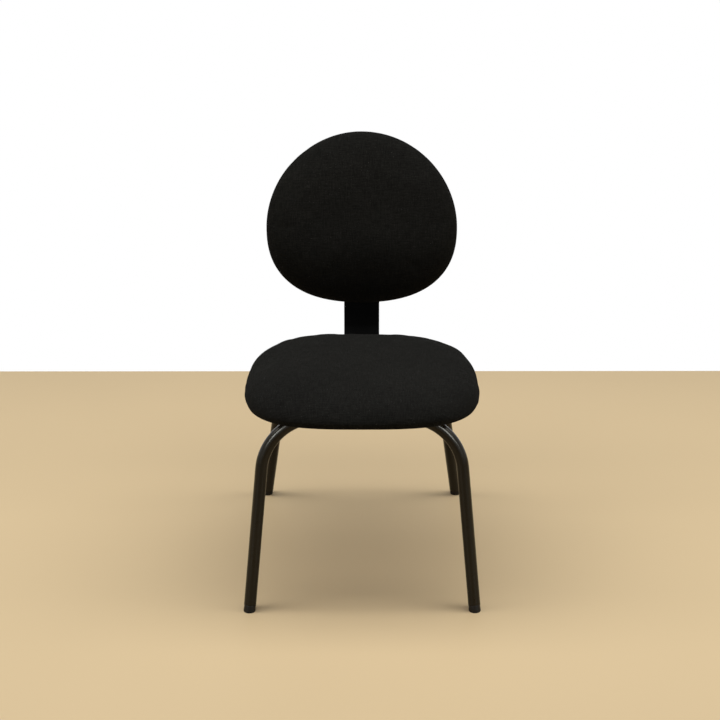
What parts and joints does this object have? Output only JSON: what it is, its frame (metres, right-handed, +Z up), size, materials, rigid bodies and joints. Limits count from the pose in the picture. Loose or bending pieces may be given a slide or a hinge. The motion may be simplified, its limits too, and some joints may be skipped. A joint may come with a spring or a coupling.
{
  "type": "visitor chair",
  "caption": "Armless visitor chair with bent tube legs, an upholstered seat, and an upholstered back on a flat steel bar.",
  "frame": {"origin": "on the floor, midway between the foremost and rearmost points of the chair and midway between its sides", "axes": "+Z up, -Y the way the sitter faces, +X to the right of someone who stands in front of the chair and looks at it"},
  "size_m": [0.4684, 0.569, 0.8427],
  "materials": {
    "frame_paint": "gloss black stoved enamel on bent steel tube and welded rails",
    "bar_paint": "semi-gloss black paint on flat steel bar",
    "glide_plastic": "black moulded push-in glide",
    "shell_plastic": "black moulded cover with a fine grain",
    "upholstery": "plain matte black woven upholstery cloth",
    "foam": "cut polyurethane foam",
    "plywood": "birch plywood, bare",
    "zinc": "bright zinc plate on pressed steel tee nuts",
    "black_screw": "black oxide on steel screws"
  },
  "bodies": {
    "root": {"front_leg_bow": "frame_paint", "rear_leg_bow": "frame_paint", "seat_rail_left": "frame_paint", "seat_rail_right": "frame_paint", "glide_front_left": "glide_plastic", "glide_front_right": "glide_plastic", "glide_rear_left": "glide_plastic", "glide_rear_right": "glide_plastic", "back_bar": "bar_paint", "seat_board": "plywood", "back_board": "plywood", "seat_foam": "foam", "back_foam": "foam", "seat_cover": "upholstery", "back_cover": "upholstery", "back_shell": "shell_plastic", "rail_screw_1": "black_screw", "rail_tee_nut_1": "zinc", "rail_screw_2": "black_screw", "rail_tee_nut_2": "zinc", "rail_screw_3": "black_screw", "rail_tee_nut_3": "zinc", "rail_screw_4": "black_screw", "rail_tee_nut_4": "zinc", "bar_screw_1": "black_screw", "bar_tee_nut_1": "zinc", "bar_screw_2": "black_screw", "bar_tee_nut_2": "zinc", "bar_screw_3": "black_screw", "bar_tee_nut_3": "zinc", "bar_screw_4": "black_screw", "bar_tee_nut_4": "zinc", "back_screw_1": "black_screw", "back_tee_nut_1": "zinc", "back_screw_2": "black_screw", "back_tee_nut_2": "zinc", "back_screw_3": "black_screw", "back_tee_nut_3": "zinc", "back_screw_4": "black_screw", "back_tee_nut_4": "zinc", "shell_screw_1": "black_screw", "shell_screw_2": "black_screw", "shell_screw_3": "black_screw", "shell_screw_4": "black_screw"}
  },
  "joints": []
}
